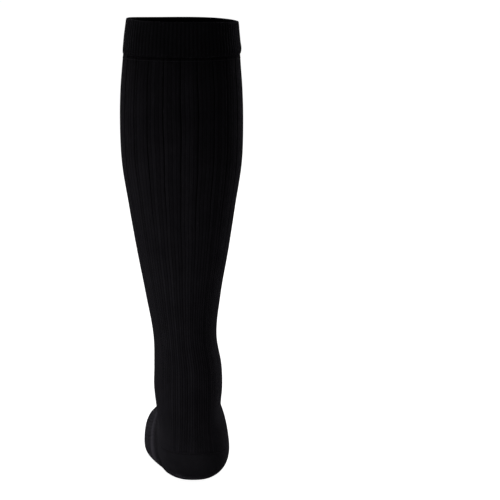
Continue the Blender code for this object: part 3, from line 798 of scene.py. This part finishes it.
link_turns = np.linspace(math.pi / 2, 3 * math.pi / 2, LINK_COUNT)
link_stitches = stitch_row("toe_link_stitches", PLACE_OF["toe_start"], link_turns, PLAIN_RAISE,
                           np.full(LINK_COUNT, LINK_SLANT), LINK_THREAD)
both_sides = np.tile([math.pi / 2, -math.pi / 2], TOE_GORE_COUNT)
gore_places = first + (last - first) * np.linspace(*TOE_GORE_SPAN, TOE_GORE_COUNT)
gore_slants = zigzag(TOE_GORE_COUNT, TOE_GORE_THREAD_SLANT)
toe_gore_stitches = stitch_row("toe_gore_stitches", np.repeat(gore_places, 2), both_sides,
                               PLAIN_RAISE - GORE_SUNK, np.repeat(gore_slants, 2), TOE_GORE_THREAD)
for seam in (link_stitches, toe_gore_stitches):
    seam.data.materials.append(THREAD)
    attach(seam, "root")
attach(toe, "root")
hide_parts("toe_cap")

# ---- Stage -------------------------------------------------------------------------------------
# A white floor that runs out to a white studio, a small low key light at the left, a large soft
# light overhead, a rim light in front of the leg on each side, and the camera, which stands four
# metres behind the leg and looks slightly down.
FLOOR_HALF = 30.0              # half the floor's side, m
FLOOR_CLEAR = 0.0004           # gap between the floor and the heel, m
FLOOR_GLOW = 0.97              # its own brightness as the camera sees it, where white is 1
CAMERA_PLACE = (0.06366, -4.0, 0.265)
CAMERA_DOWN = math.radians(6.604)
CAMERA_LENS = 305.7            # focal length, mm


def white_floor_material():
    """Matt white paper that the camera sees lit evenly, and that throws soft light back up."""
    material = bpy.data.materials.new("white_paper")
    material.use_nodes = True
    tree = material.node_tree
    shader = tree.nodes["Principled BSDF"]
    seen = add_node(tree, "ShaderNodeLightPath")
    even = add_node(tree, "ShaderNodeMath", {0: seen.outputs["Is Camera Ray"], 1: FLOOR_GLOW},
                    operation="MULTIPLY")
    tree.links.new(even.outputs[0], shader.inputs["Emission Strength"])
    shader.inputs["Emission Color"].default_value = (1.0, 1.0, 1.0, 1.0)
    shader.inputs["Base Color"].default_value = (0.80, 0.80, 0.80, 1.0)
    shader.inputs["Roughness"].default_value = 1.0
    shader.inputs["Specular IOR Level"].default_value = 0.0
    return material


floor_mesh = bpy.data.meshes.new("floor")
floor_level = cad_box[0][2] - FLOOR_CLEAR
floor_mesh.from_pydata([(x * FLOOR_HALF, y * FLOOR_HALF, floor_level)
                        for x, y in ((-1, -1), (1, -1), (1, 1), (-1, 1))], [], [(0, 1, 2, 3)])
floor_mesh.materials.append(white_floor_material())
floor = bpy.data.objects.new("floor", floor_mesh)
bpy.context.scene.collection.objects.link(floor)

# Each light: where it stands, the side of its square panel in metres, and its power in watts.
LIGHTS = {
    "key_light": ((-1.1, -1.2, -0.36), 0.3, 8.4),
    "top_light": ((0.0, 0.5, 2.6), 1.2, 18.5),
    "right_rim_light": ((1.8, 2.8, 0.2), 1.0, 22.0),
    "left_rim_light": ((-1.8, 2.8, 0.2), 1.0, 9.0),
}
LIT_POINT = (0.0, 0.0, -0.2)
STUDIO_GLOW = 0.076            # brightness of the white walls, as far as they light the cloth

for name, (place, side, power) in LIGHTS.items():
    light = bpy.data.lights.new(name, "AREA")
    light.shape = "SQUARE"
    light.size = side
    light.energy = power
    lamp = bpy.data.objects.new(name, light)
    lamp.visible_camera = False
    bpy.context.scene.collection.objects.link(lamp)
    away = np.array(LIT_POINT) - np.array(place)
    lamp.location = place
    lamp.rotation_euler = (math.acos(-away[2] / np.linalg.norm(away)), 0.0,
                           math.atan2(away[1], away[0]) - math.pi / 2)

world = bpy.data.worlds.new("white_studio")
world.use_nodes = True
bpy.context.scene.world = world
walls = world.node_tree.nodes["Background"]
walls.inputs["Color"].default_value = (1.0, 1.0, 1.0, 1.0)
seen = add_node(world.node_tree, "ShaderNodeLightPath")
brightness = add_node(world.node_tree, "ShaderNodeMapRange", {
    "Value": seen.outputs["Is Camera Ray"], "To Min": STUDIO_GLOW, "To Max": 1.0})
world.node_tree.links.new(brightness.outputs[0], walls.inputs["Strength"])

camera_data = bpy.data.cameras.new("camera")
camera_data.lens = CAMERA_LENS
camera_data.sensor_width = 36.0
camera_data.clip_end = 100.0
camera = bpy.data.objects.new("camera", camera_data)
camera.location = CAMERA_PLACE
camera.rotation_euler = (math.pi / 2 - CAMERA_DOWN, 0.0, 0.0)
bpy.context.scene.collection.objects.link(camera)
bpy.context.scene.camera = camera
bpy.context.scene.view_settings.view_transform = "Standard"
